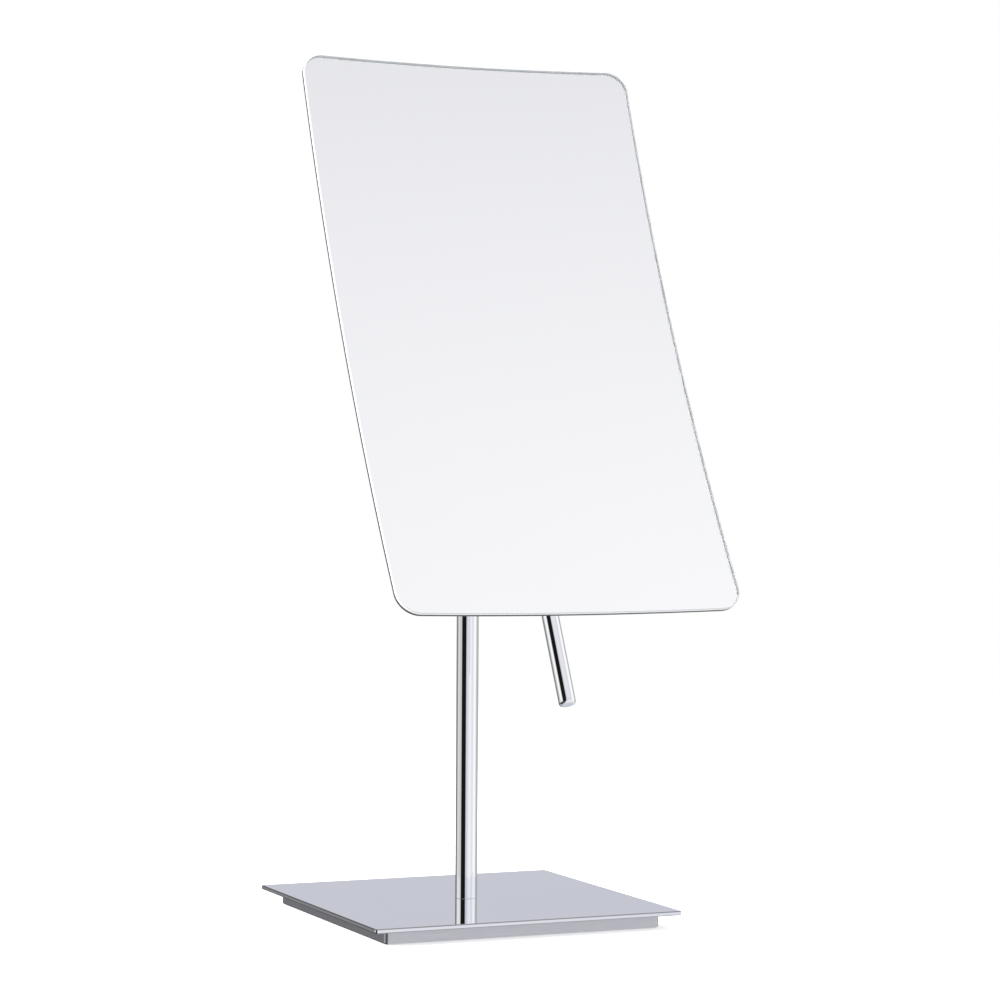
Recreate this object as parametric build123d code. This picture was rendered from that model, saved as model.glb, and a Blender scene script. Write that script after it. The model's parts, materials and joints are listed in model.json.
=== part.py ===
from build123d import *

import os
from math import cos, radians, sin

# Table-standing shaving mirror: a frameless concave glass on a telescopic pole over a weighted square base.
# The rod inside the pole slides up, the head turns on the rod, and the glass tilts on the head by its handle.
# Millimetres, +Z up. The viewer stands on the -Y side. The origin is the centre of the pad's underside.

# Base
PLATE_SIDE = 145.0
PLATE_THICKNESS = 2.0
PLATE_CORNER_RADIUS = 1.5
PLATE_EDGE_ROUND = 0.6
BLOCK_SIDE = 130.0
BLOCK_HEIGHT = 6.0
BLOCK_CORNER_RADIUS = 2.0
BLOCK_EDGE_CHAMFER = 0.5
PAD_SIDE = 118.0
PAD_CORNER_RADIUS = 4.0
PAD_THICKNESS = 1.2
PAD_STANDOFF = 0.4
PAD_SIDE_GAP = 0.3
DOWEL_DIAMETER = 3.0
DOWEL_SPACING = 60.0
DOWEL_DEPTH_IN_PLATE = 1.2
DOWEL_DEPTH_IN_BLOCK = 3.4

# Screw that holds the pole, the plate and the block together
POLE_SCREW_DIAMETER = 5.0
POLE_SCREW_HEAD_DIAMETER = 9.0
POLE_SCREW_HEAD_HEIGHT = 2.0
POLE_SCREW_SOCKET = 3.0
POLE_SCREW_GRIP = 12.0
POLE_WASHER_DIAMETER = 14.0
POLE_WASHER_THICKNESS = 0.8
FOOT_PLUG_LENGTH = 18.0

# Pole and the rod that slides in it
TUBE_DIAMETER = 10.0
TUBE_WALL = 1.0
TUBE_END_CHAMFER = 0.2
COLLAR_WALL = 0.9
COLLAR_SKIRT = 8.0
COLLAR_LIP = 1.0
COLLAR_ROUND = 0.4
BUSH_WALL = 0.5
BUSH_LENGTH = 14.0
BUSH_FLANGE = 1.0
HEIGHT_TRAVEL = 100.0
SLIDER_LENGTH = 16.0
SLIDER_CLEARANCE = 0.05
SLIDER_SCREW_DIAMETER = 3.0
SLIDER_SCREW_HEAD_DIAMETER = 5.0
SLIDER_SCREW_HEAD_HEIGHT = 2.0
SLIDER_SCREW_SOCKET = 2.0
SLIDER_SCREW_GRIP = 8.0
RING_SECTION = 1.5
RING_SPACING = 7.0
GROOVE_SIDE_CLEARANCE = 0.1

# Head that turns on the rod
ROD_SHOULDER = 1.0
THRUST_WASHER_THICKNESS = 1.5
KNUCKLE_WALL = 5.0
KNUCKLE_HEIGHT = 18.0
KNUCKLE_ROUND = 0.8
BEARING_LENGTH = 11.3
SPIGOT_RECESS = 0.2
SWIVEL_SCREW_DIAMETER = 3.0
SWIVEL_SCREW_HEAD_DIAMETER = 5.6
SWIVEL_SCREW_HEAD_HEIGHT = 2.0
SWIVEL_SCREW_SOCKET = 2.0
SWIVEL_SCREW_GRIP = 8.0
SWIVEL_WASHER_DIAMETER = 8.0
SWIVEL_WASHER_THICKNESS = 0.8
SWIVEL_SPRING_DIAMETER = 9.0
CAP_WALL = 2.0
CAP_DEPTH = 2.4
CAP_RISE = 0.8
SPRING_THICKNESS = 0.4
SPRING_RISE = 0.2
ARM_DIAMETER = 10.0

# Tilt joint
PIVOT_REACH = 32.5
PIVOT_HEIGHT = 253.2
TILT_AT_REST = 26.4
CHEEK_RADIUS = 6.5
CHEEK_THICKNESS = 3.5
CHEEK_ROUND = 0.8
FORK_ROOM = 8.5
FORK_WEB = 4.0
BARREL_DIAMETER = 12.4
BARREL_WIDTH = 12.0
FRICTION_WASHER_THICKNESS = 0.6
AXLE_DIAMETER = 4.0
AXLE_HEAD_DIAMETER = 7.6
AXLE_HEAD_HEIGHT = 2.2
AXLE_SOCKET = 2.5
AXLE_SPRING_DIAMETER = 8.0
NUT_WIDTH = 7.0
NUT_HEX_HEIGHT = 3.2
NUT_DOME_DIAMETER = 6.4
NUT_LENGTH = 6.5
NUT_THREAD_DEPTH = 4.6

# Hinge block and the handle screwed into it
CHEEK_GAP = 0.7
FOOT_WIDTH = 26.0
FOOT_LENGTH = 36.0
FOOT_THICKNESS = 2.5
FOOT_NOTCH_HEIGHT = 18.0
FOOT_CORNER_RADIUS = 2.0
HINGE_SCREW_DIAMETER = 3.0
HINGE_SCREW_HEAD_DIAMETER = 5.5
HINGE_SCREW_SOCKET = 2.0
HINGE_SCREW_SPACING_X = 17.0
HINGE_SCREW_SPACING_UP = 27.0
BOSS_LIP = 1.5
BOSS_REACH = 18.0
BOSS_ROUND = 0.5
HANDLE_DIAMETER = 7.4
HANDLE_REACH = 167.0
HANDLE_TIP_ROUND = 1.2
STUD_DIAMETER = 5.0
STUD_DEPTH = 9.0

# Mirror
GLASS_WIDTH = 158.6
GLASS_HEIGHT = 269.6
GLASS_THICKNESS = 3.0
GLASS_CORNER_RADIUS = 10.0
GLASS_CURVE_RADIUS = 1155.0
GLASS_EDGE_ROUND = 0.4
PANEL_INSET = 3.0
PANEL_THICKNESS = 0.8
BOND_LINE = 0.1
BOND_DISC_DIAMETER = 54.0
BOND_DISC_THICKNESS = 0.8
MOUNT_DISC_DIAMETER = 56.0
MOUNT_DISC_THICKNESS = 3.0
MOUNT_DISC_ROUND = 0.4

# Fits, all radial or face to face
PRESS_CLEARANCE = 0.02
RUNNING_CLEARANCE = 0.03
FACE_CLEARANCE = 0.05
THREAD_CLEARANCE = 0.05
HOLE_CLEARANCE = 0.2
END_CLEARANCE = 0.2
SOCKET_SHARE_OF_HEAD = 0.6

# Heights of the base
block_bottom = PAD_STANDOFF
plate_bottom = block_bottom + BLOCK_HEIGHT
plate_top = plate_bottom + PLATE_THICKNESS
pole_head_bottom = PAD_THICKNESS + END_CLEARANCE
pole_washer_bottom = pole_head_bottom + POLE_SCREW_HEAD_HEIGHT
pole_washer_top = pole_washer_bottom + POLE_WASHER_THICKNESS

# Diameters along the pole
tube_bore = TUBE_DIAMETER - 2 * TUBE_WALL
bush_diameter = tube_bore - 2 * PRESS_CLEARANCE
bush_bore = bush_diameter - 2 * BUSH_WALL
rod_diameter = bush_bore - 2 * RUNNING_CLEARANCE
spigot_diameter = rod_diameter - 2 * ROD_SHOULDER
slider_diameter = tube_bore - 2 * SLIDER_CLEARANCE
collar_bore = TUBE_DIAMETER + 2 * PRESS_CLEARANCE
collar_diameter = collar_bore + 2 * COLLAR_WALL
knuckle_bore = spigot_diameter + 2 * RUNNING_CLEARANCE
knuckle_diameter = knuckle_bore + 2 * KNUCKLE_WALL
knuckle_recess = knuckle_diameter - 2 * CAP_WALL

# Heights along the pole, worked down from the tilt axis
knuckle_bottom = PIVOT_HEIGHT - KNUCKLE_HEIGHT / 2
knuckle_top = knuckle_bottom + KNUCKLE_HEIGHT
bearing_top = knuckle_bottom + BEARING_LENGTH
spigot_top = bearing_top - SPIGOT_RECESS
spring_height = SPRING_THICKNESS + SPRING_RISE
swivel_washer_bottom = bearing_top + spring_height + FACE_CLEARANCE
swivel_washer_top = swivel_washer_bottom + SWIVEL_WASHER_THICKNESS
thrust_washer_top = knuckle_bottom - FACE_CLEARANCE
rod_shoulder_height = thrust_washer_top - THRUST_WASHER_THICKNESS
collar_top = rod_shoulder_height - END_CLEARANCE
bush_top = collar_top - COLLAR_LIP
tube_top = bush_top - BUSH_FLANGE
bush_bottom = tube_top - BUSH_LENGTH
slider_top = bush_bottom - END_CLEARANCE - HEIGHT_TRAVEL
slider_bottom = slider_top - SLIDER_LENGTH
slider_head_seat = slider_bottom + END_CLEARANCE + SLIDER_SCREW_HEAD_HEIGHT

# Places along the tilt axle, out from its middle
washer_inner = BARREL_WIDTH / 2 + FACE_CLEARANCE
cheek_inner = washer_inner + FRICTION_WASHER_THICKNESS
cheek_outer = cheek_inner + CHEEK_THICKNESS
nut_seat = cheek_outer + 2 * spring_height

# Places in front of the tilt axis, along the way the glass faces
disc_back = CHEEK_RADIUS + CHEEK_GAP
disc_front = disc_back + MOUNT_DISC_THICKNESS
panel_back = disc_front + BOND_DISC_THICKNESS
panel_front = panel_back + PANEL_THICKNESS
glass_back = panel_front + BOND_LINE
glass_front = glass_back + GLASS_THICKNESS
foot_back = disc_back - FOOT_THICKNESS
curve_centre = glass_front + GLASS_CURVE_RADIUS
boss_diameter = HANDLE_DIAMETER + 2 * BOSS_LIP

# The head's frame sits on the tilt axis. The mirror's frame is the same one, leaned back by the resting tilt:
# its X runs along the axle, its Y up the glass and its Z out of the glass towards the viewer.
HEAD_FRAME = Pos(0, -PIVOT_REACH, PIVOT_HEIGHT)
lean = radians(TILT_AT_REST)
MIRROR_FRAME = Plane(
    origin=(0, -PIVOT_REACH, PIVOT_HEIGHT),
    x_dir=(1, 0, 0),
    z_dir=(0, -cos(lean), sin(lean)),
).location


def post(diameter, bottom, top):
    """Cylinder on the Z axis between two heights."""
    base = (Align.CENTER, Align.CENTER, Align.MIN)
    return Pos(0, 0, bottom) * Cylinder(diameter / 2, top - bottom, align=base)


def ring(outer, inner, bottom, top):
    """Tube on the Z axis between two heights."""
    return post(outer, bottom, top) - post(inner, bottom, top)


def slab(width, depth, corner_radius, bottom, top):
    """Rectangular slab with rounded upright corners between two heights."""
    return extrude(Pos(0, 0, bottom) * RectangleRounded(width, depth, corner_radius), top - bottom)


def along_x(shape):
    """Turn a shape made on the Z axis so that it lies on the X axis."""
    return Rot(0, 90, 0) * shape


def along_y_down(shape):
    """Turn a shape made on the Z axis so that its +Z end points along -Y."""
    return Rot(90, 0, 0) * shape


def top_edges(shape):
    """Edges at the highest level of a shape."""
    return shape.edges().group_by(Axis.Z)[-1]


def bottom_edges(shape):
    """Edges at the lowest level of a shape."""
    return shape.edges().group_by(Axis.Z)[0]


def hex_socket(width, bottom, top):
    """Hexagonal key recess on the Z axis."""
    return extrude(Pos(0, 0, bottom) * RegularPolygon(width / 2, 6, major_radius=False), top - bottom)


def cap_screw(diameter, head_diameter, head_height, length, socket_width):
    """Screw whose head stands on z = 0 and whose shank runs down from it."""
    head = post(head_diameter, 0, head_height)
    head = fillet(top_edges(head), head_height / 4)
    socket_depth = head_height * SOCKET_SHARE_OF_HEAD
    socket = hex_socket(socket_width, head_height - socket_depth, head_height)
    return head + post(diameter, -length, 0) - socket


def disc_spring(outer, inner, bottom, dished_up):
    """Conical spring ring: its inner rim stands above its outer rim, or below it."""
    inner_rim = bottom + (SPRING_RISE if dished_up else 0)
    outer_rim = bottom + (0 if dished_up else SPRING_RISE)
    corners = [
        (inner / 2, inner_rim),
        (outer / 2, outer_rim),
        (outer / 2, outer_rim + SPRING_THICKNESS),
        (inner / 2, inner_rim + SPRING_THICKNESS),
    ]
    return revolve(Plane.XZ * Polygon(*corners, align=None), Axis.Z)


def dished_sheet(width, height, corner_radius, back, front):
    """Sheet between two spheres about the glass's centre of curvature, named by its middle's back and front."""
    half_diagonal = ((width / 2) ** 2 + (height / 2) ** 2) ** 0.5
    rim_rise = half_diagonal**2 / GLASS_CURVE_RADIUS
    prism = slab(width, height, corner_radius, back, front + rim_rise)
    outer_ball = Pos(0, 0, curve_centre) * Rot(90, 0, 0) * Sphere(curve_centre - back)
    inner_ball = Pos(0, 0, curve_centre) * Rot(90, 0, 0) * Sphere(curve_centre - front)
    return (prism & outer_ball) - inner_ball


def base_plate():
    """Polished top plate, with the pole's hole and two blind dowel holes underneath."""
    plate = slab(PLATE_SIDE, PLATE_SIDE, PLATE_CORNER_RADIUS, plate_bottom, plate_top)
    plate = fillet(top_edges(plate) + bottom_edges(plate), PLATE_EDGE_ROUND)
    plate -= post(POLE_SCREW_DIAMETER + 2 * HOLE_CLEARANCE, plate_bottom, plate_top)
    for x in (-DOWEL_SPACING / 2, DOWEL_SPACING / 2):
        hole_top = plate_bottom + DOWEL_DEPTH_IN_PLATE + END_CLEARANCE
        plate -= Pos(x, 0, 0) * post(DOWEL_DIAMETER + 2 * PRESS_CLEARANCE, plate_bottom, hole_top)
    return plate


def base_block():
    """Satin ballast block under the plate, hollowed below for the pad and for the pole screw's head."""
    block = slab(BLOCK_SIDE, BLOCK_SIDE, BLOCK_CORNER_RADIUS, block_bottom, plate_bottom)
    block = chamfer(bottom_edges(block), BLOCK_EDGE_CHAMFER)
    pocket_side = PAD_SIDE + 2 * PAD_SIDE_GAP
    block -= slab(pocket_side, pocket_side, PAD_CORNER_RADIUS + PAD_SIDE_GAP, block_bottom, PAD_THICKNESS)
    block -= post(POLE_WASHER_DIAMETER + 2 * HOLE_CLEARANCE, PAD_THICKNESS, pole_washer_top)
    block -= post(POLE_SCREW_DIAMETER + 2 * HOLE_CLEARANCE, pole_washer_top, plate_bottom)
    for x in (-DOWEL_SPACING / 2, DOWEL_SPACING / 2):
        hole_bottom = plate_bottom - DOWEL_DEPTH_IN_BLOCK - END_CLEARANCE
        block -= Pos(x, 0, 0) * post(DOWEL_DIAMETER + 2 * PRESS_CLEARANCE, hole_bottom, plate_bottom)
    return block


def base_pad():
    """Non-slip pad let into the block's underside, which the mirror stands on."""
    return slab(PAD_SIDE, PAD_SIDE, PAD_CORNER_RADIUS, 0, PAD_THICKNESS)


def dowel_pins():
    """Two pins that keep the plate square on the block."""
    pin = post(DOWEL_DIAMETER, plate_bottom - DOWEL_DEPTH_IN_BLOCK, plate_bottom + DOWEL_DEPTH_IN_PLATE)
    return [Pos(x, 0, 0) * pin for x in (-DOWEL_SPACING / 2, DOWEL_SPACING / 2)]


def pole_screw():
    """Screw driven up from under the block into the plug in the pole."""
    length = plate_top + POLE_SCREW_GRIP - pole_washer_bottom
    screw = cap_screw(
        POLE_SCREW_DIAMETER, POLE_SCREW_HEAD_DIAMETER, POLE_SCREW_HEAD_HEIGHT, length, POLE_SCREW_SOCKET
    )
    return Pos(0, 0, pole_washer_bottom) * Rot(180, 0, 0) * screw


def pole_washer():
    """Washer between the pole screw's head and the block."""
    hole = POLE_SCREW_DIAMETER + 2 * HOLE_CLEARANCE
    return ring(POLE_WASHER_DIAMETER, hole, pole_washer_bottom, pole_washer_top)


def pole_tube():
    """Plain round tube that stands on the plate."""
    tube = post(TUBE_DIAMETER, plate_top, tube_top)
    tube = chamfer(bottom_edges(tube), TUBE_END_CHAMFER)
    return tube - post(tube_bore, plate_top, tube_top)


def foot_plug():
    """Threaded plug pressed into the foot of the tube."""
    plug = tube_bore - 2 * PRESS_CLEARANCE
    thread = POLE_SCREW_DIAMETER + 2 * THREAD_CLEARANCE
    return ring(plug, thread, plate_top, plate_top + FOOT_PLUG_LENGTH)


def guide_bush():
    """Flanged bush in the tube's mouth that the rod slides through."""
    bush = post(bush_diameter, bush_bottom, tube_top) + post(TUBE_DIAMETER, tube_top, bush_top)
    return bush - post(bush_bore, bush_bottom, bush_top)


def tube_collar():
    """Bright ring pressed over the tube's end, with a lip that keeps the bush in."""
    collar = post(collar_diameter, tube_top - COLLAR_SKIRT, collar_top)
    collar = fillet(top_edges(collar) + bottom_edges(collar), COLLAR_ROUND)
    collar -= post(collar_bore, tube_top - COLLAR_SKIRT, bush_top)
    return collar - post(rod_diameter + 2 * HOLE_CLEARANCE, bush_top, collar_top)


def riser_rod():
    """Rod that slides in the tube, turned down at its top to carry the head."""
    rod = post(rod_diameter, slider_top, rod_shoulder_height)
    rod += post(spigot_diameter, rod_shoulder_height, spigot_top)
    lower_hole = SLIDER_SCREW_DIAMETER + 2 * THREAD_CLEARANCE
    rod -= post(lower_hole, slider_top, slider_top + SLIDER_SCREW_GRIP + END_CLEARANCE)
    upper_hole = SWIVEL_SCREW_DIAMETER + 2 * THREAD_CLEARANCE
    return rod - post(upper_hole, spigot_top - SWIVEL_SCREW_GRIP - END_CLEARANCE, spigot_top)


def ring_heights():
    """Heights of the middles of the slider's two rubber rings."""
    middle = (slider_bottom + slider_top) / 2
    return [middle - RING_SPACING / 2, middle + RING_SPACING / 2]


def friction_rings():
    """Two rubber rings on the slider that hold the rod at any height."""
    outer_radius = tube_bore / 2 - RUNNING_CLEARANCE
    torus = Torus(outer_radius - RING_SECTION / 2, RING_SECTION / 2)
    return [Pos(0, 0, height) * torus for height in ring_heights()]


def slider():
    """Foot of the rod, guided by the tube's bore, with grooves for the rubber rings."""
    body = post(slider_diameter, slider_bottom, slider_top)
    groove_floor = tube_bore - 2 * RUNNING_CLEARANCE - 2 * RING_SECTION - 2 * PRESS_CLEARANCE
    half_groove = RING_SECTION / 2 + GROOVE_SIDE_CLEARANCE
    for height in ring_heights():
        body -= ring(slider_diameter, groove_floor, height - half_groove, height + half_groove)
    body -= post(SLIDER_SCREW_HEAD_DIAMETER + 2 * HOLE_CLEARANCE, slider_bottom, slider_head_seat)
    return body - post(SLIDER_SCREW_DIAMETER + 2 * THREAD_CLEARANCE, slider_head_seat, slider_top)


def slider_screw():
    """Screw that holds the slider to the foot of the rod."""
    length = slider_top + SLIDER_SCREW_GRIP - slider_head_seat
    screw = cap_screw(
        SLIDER_SCREW_DIAMETER, SLIDER_SCREW_HEAD_DIAMETER, SLIDER_SCREW_HEAD_HEIGHT, length, SLIDER_SCREW_SOCKET
    )
    return Pos(0, 0, slider_head_seat) * Rot(180, 0, 0) * screw


def thrust_washer():
    """Washer on the rod's shoulder that the head turns on and that lands on the collar."""
    hole = spigot_diameter + 2 * PRESS_CLEARANCE
    return ring(collar_diameter, hole, rod_shoulder_height, thrust_washer_top)


def swivel_screw():
    """Screw in the top of the rod that holds the head down on its spring."""
    length = swivel_washer_top - spigot_top + SWIVEL_SCREW_GRIP
    screw = cap_screw(
        SWIVEL_SCREW_DIAMETER, SWIVEL_SCREW_HEAD_DIAMETER, SWIVEL_SCREW_HEAD_HEIGHT, length, SWIVEL_SCREW_SOCKET
    )
    return Pos(0, 0, swivel_washer_top) * screw


def swivel_washer():
    """Washer between the swivel screw's head and the spring."""
    hole = SWIVEL_SCREW_DIAMETER + 2 * HOLE_CLEARANCE
    return ring(SWIVEL_WASHER_DIAMETER, hole, swivel_washer_bottom, swivel_washer_top)


def swivel_spring():
    """Disc spring that presses the head down on the thrust washer."""
    hole = SWIVEL_SCREW_DIAMETER + 4 * HOLE_CLEARANCE
    return disc_spring(SWIVEL_SPRING_DIAMETER, hole, bearing_top, True)


def swivel_arm():
    """Cast head: an upright knuckle on the rod, a short arm forward and a fork for the tilt axle."""
    half_height = CHEEK_RADIUS
    web_back = FORK_ROOM + FORK_WEB
    outline = Circle(CHEEK_RADIUS) + Pos(web_back / 2, 0) * Rectangle(web_back, 2 * half_height)
    fork = extrude(Plane.YZ.offset(-cheek_outer) * outline, 2 * cheek_outer)
    fork = fillet(fork.edges().filter_by(Plane.YZ), CHEEK_ROUND)
    gap_length = CHEEK_RADIUS + FORK_ROOM
    gap_middle = (FORK_ROOM - CHEEK_RADIUS) / 2
    fork -= Pos(0, gap_middle, 0) * Box(2 * cheek_inner, gap_length, 2 * half_height)
    fork -= along_x(post(AXLE_DIAMETER + 2 * PRESS_CLEARANCE, -cheek_outer, cheek_outer))
    arm = along_y_down(post(ARM_DIAMETER, -PIVOT_REACH, -web_back + CHEEK_ROUND))
    knuckle = post(knuckle_diameter, knuckle_bottom, knuckle_top)
    knuckle = fillet(top_edges(knuckle) + bottom_edges(knuckle), KNUCKLE_ROUND)
    head = HEAD_FRAME * (fork + arm) + knuckle
    head -= post(knuckle_bore, knuckle_bottom, bearing_top)
    return head - post(knuckle_recess, bearing_top, knuckle_top)


def head_cap():
    """Domed cap over the swivel screw."""
    cap = post(knuckle_recess - 2 * PRESS_CLEARANCE, knuckle_top - CAP_DEPTH, knuckle_top + CAP_RISE)
    return fillet(top_edges(cap), CAP_RISE)


def tilt_axle():
    """Bolt through the fork that the mirror tilts on, with its head on the -X side."""
    length = cheek_outer + nut_seat + NUT_THREAD_DEPTH - END_CLEARANCE
    bolt = cap_screw(AXLE_DIAMETER, AXLE_HEAD_DIAMETER, AXLE_HEAD_HEIGHT, length, AXLE_SOCKET)
    return HEAD_FRAME * Pos(-cheek_outer, 0, 0) * along_x(Rot(180, 0, 0) * bolt)


def axle_springs():
    """Two disc springs, dished apart, that set the tilt's friction."""
    hole = AXLE_DIAMETER + 2 * HOLE_CLEARANCE
    first = disc_spring(AXLE_SPRING_DIAMETER, hole, cheek_outer, True)
    second = disc_spring(AXLE_SPRING_DIAMETER, hole, cheek_outer + spring_height, False)
    return [HEAD_FRAME * along_x(spring) for spring in (first, second)]


def axle_nut():
    """Domed nut on the axle's end."""
    hexagon = RegularPolygon(NUT_WIDTH / 2, 6, major_radius=False)
    nut = extrude(Pos(0, 0, nut_seat) * hexagon, NUT_HEX_HEIGHT)
    dome = post(NUT_DOME_DIAMETER, nut_seat, nut_seat + NUT_LENGTH)
    nut += fillet(top_edges(dome), (NUT_LENGTH - NUT_HEX_HEIGHT) / 2)
    nut -= post(AXLE_DIAMETER + 2 * THREAD_CLEARANCE, nut_seat, nut_seat + NUT_THREAD_DEPTH)
    return HEAD_FRAME * along_x(nut)


def friction_washers():
    """Two washers between the fork's cheeks and the barrel."""
    hole = AXLE_DIAMETER + 2 * PRESS_CLEARANCE
    right = along_x(ring(BARREL_DIAMETER, hole, washer_inner, cheek_inner))
    left = along_x(ring(BARREL_DIAMETER, hole, -cheek_inner, -washer_inner))
    return [HEAD_FRAME * right, HEAD_FRAME * left]


def hinge_screw_places():
    """Places of the four hinge screws across and up the glass."""
    half_x = HINGE_SCREW_SPACING_X / 2
    half_up = HINGE_SCREW_SPACING_UP / 2
    return [(x, up) for x in (-half_x, half_x) for up in (-half_up, half_up)]


def countersink(extra_radius):
    """Cone of a countersunk head, flush with the back of the foot."""
    head_radius = HINGE_SCREW_HEAD_DIAMETER / 2 + extra_radius
    shank_radius = HINGE_SCREW_DIAMETER / 2 + extra_radius
    depth = head_radius - shank_radius
    base = (Align.CENTER, Align.CENTER, Align.MIN)
    return Pos(0, 0, foot_back) * Cone(head_radius, shank_radius, depth, align=base)


def hinge_block():
    """Barrel on the axle with a foot for the mount disc and a boss for the handle."""
    barrel = along_x(post(BARREL_DIAMETER, -BARREL_WIDTH / 2, BARREL_WIDTH / 2))
    foot = slab(FOOT_WIDTH, FOOT_LENGTH, FOOT_CORNER_RADIUS, foot_back, disc_back)
    notch_width = (FOOT_WIDTH - BARREL_WIDTH) / 2
    notch_place = (FOOT_WIDTH + BARREL_WIDTH) / 4
    for side in (-1, 1):
        notch = Box(notch_width, FOOT_NOTCH_HEIGHT, 2 * FOOT_THICKNESS)
        foot -= Pos(side * notch_place, 0, foot_back + FOOT_THICKNESS / 2) * notch
    boss = post(boss_diameter, 0, BOSS_REACH)
    boss = along_y_down(fillet(top_edges(boss), BOSS_ROUND))
    block = barrel + foot + boss
    block -= along_x(post(AXLE_DIAMETER + 2 * RUNNING_CLEARANCE, -BARREL_WIDTH / 2, BARREL_WIDTH / 2))
    stud_hole = STUD_DIAMETER + 2 * THREAD_CLEARANCE
    block -= along_y_down(post(stud_hole, BOSS_REACH - STUD_DEPTH - END_CLEARANCE, BOSS_REACH))
    for x, up in hinge_screw_places():
        clear_hole = post(HINGE_SCREW_DIAMETER + 2 * HOLE_CLEARANCE, foot_back, disc_back)
        block -= Pos(x, up, 0) * (clear_hole + countersink(HOLE_CLEARANCE))
    return MIRROR_FRAME * block


def hinge_screws():
    """Four countersunk screws that hold the hinge block to the mount disc."""
    screw = post(HINGE_SCREW_DIAMETER, foot_back, disc_front - END_CLEARANCE) + countersink(0)
    screw -= hex_socket(HINGE_SCREW_SOCKET, foot_back, foot_back + FOOT_THICKNESS / 2)
    return [MIRROR_FRAME * Pos(x, up, 0) * screw for x, up in hinge_screw_places()]


def mount_disc():
    """Steel disc bonded behind the mirror, tapped for the hinge screws."""
    disc = post(MOUNT_DISC_DIAMETER, disc_back, disc_front)
    disc = fillet(bottom_edges(disc), MOUNT_DISC_ROUND)
    for x, up in hinge_screw_places():
        disc -= Pos(x, up, 0) * post(HINGE_SCREW_DIAMETER + 2 * THREAD_CLEARANCE, disc_back, disc_front)
    return MIRROR_FRAME * disc


def bond_disc():
    """Foam bonding disc, flat on the mount disc and dished to the panel's back."""
    disc = post(BOND_DISC_DIAMETER, disc_front, panel_front)
    ball = Pos(0, 0, curve_centre) * Rot(90, 0, 0) * Sphere(curve_centre - panel_back)
    return MIRROR_FRAME * (disc - ball)


def back_panel():
    """Thin dished sheet that covers the back of the glass."""
    width = GLASS_WIDTH - 2 * PANEL_INSET
    height = GLASS_HEIGHT - 2 * PANEL_INSET
    corner = GLASS_CORNER_RADIUS - PANEL_INSET
    return MIRROR_FRAME * dished_sheet(width, height, corner, panel_back, panel_front)


def mirror_glass():
    """Frameless concave glass with its edges ground round."""
    glass = dished_sheet(GLASS_WIDTH, GLASS_HEIGHT, GLASS_CORNER_RADIUS, glass_back, glass_front)
    faces = glass.faces().sort_by(SortBy.AREA)[-2:]
    rims = faces[0].edges() + faces[1].edges()
    return MIRROR_FRAME * fillet(rims, GLASS_EDGE_ROUND)


def handle_stud():
    """Threaded stud that joins the handle to the hinge block."""
    stud = post(STUD_DIAMETER, BOSS_REACH - STUD_DEPTH, BOSS_REACH + STUD_DEPTH)
    return MIRROR_FRAME * along_y_down(stud)


def handle():
    """Round rod below the glass that tilts the mirror."""
    rod = post(HANDLE_DIAMETER, BOSS_REACH, HANDLE_REACH)
    rod = fillet(top_edges(rod), HANDLE_TIP_ROUND)
    stud_hole = STUD_DIAMETER + 2 * THREAD_CLEARANCE
    rod -= post(stud_hole, BOSS_REACH, BOSS_REACH + STUD_DEPTH + END_CLEARANCE)
    return MIRROR_FRAME * along_y_down(rod)


PIECES = [
    base_plate,
    base_block,
    base_pad,
    dowel_pins,
    pole_screw,
    pole_washer,
    pole_tube,
    foot_plug,
    guide_bush,
    tube_collar,
    riser_rod,
    slider,
    friction_rings,
    slider_screw,
    thrust_washer,
    swivel_screw,
    swivel_washer,
    swivel_spring,
    swivel_arm,
    head_cap,
    tilt_axle,
    axle_springs,
    axle_nut,
    friction_washers,
    hinge_block,
    hinge_screws,
    mount_disc,
    bond_disc,
    back_panel,
    mirror_glass,
    handle_stud,
    handle,
]

os.makedirs("parts", exist_ok=True)
for piece in PIECES:
    shape = piece()
    if isinstance(shape, list):
        shape = Compound(children=shape)
    export_step(shape, f"parts/{piece.__name__}.step")
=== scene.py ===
"""Finishes a table-standing shaving mirror and sets it on a pale studio floor.

Lengths are metres, in the frame of the solids: +Z up, the person in front of the glass on the -Y side, and the
origin under the middle of the base. The glass, the sheets behind it and the turned bright pieces are worked out
here as fine surfaces, because a mirror finish shows every facet. The other pieces keep their solids.
"""
import json
import math

import bmesh
import bpy
import numpy as np
from bpy.props import FloatProperty, FloatVectorProperty, PointerProperty
from bpy.types import Operator, Panel, PropertyGroup
from mathutils import Matrix, Vector


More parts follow.
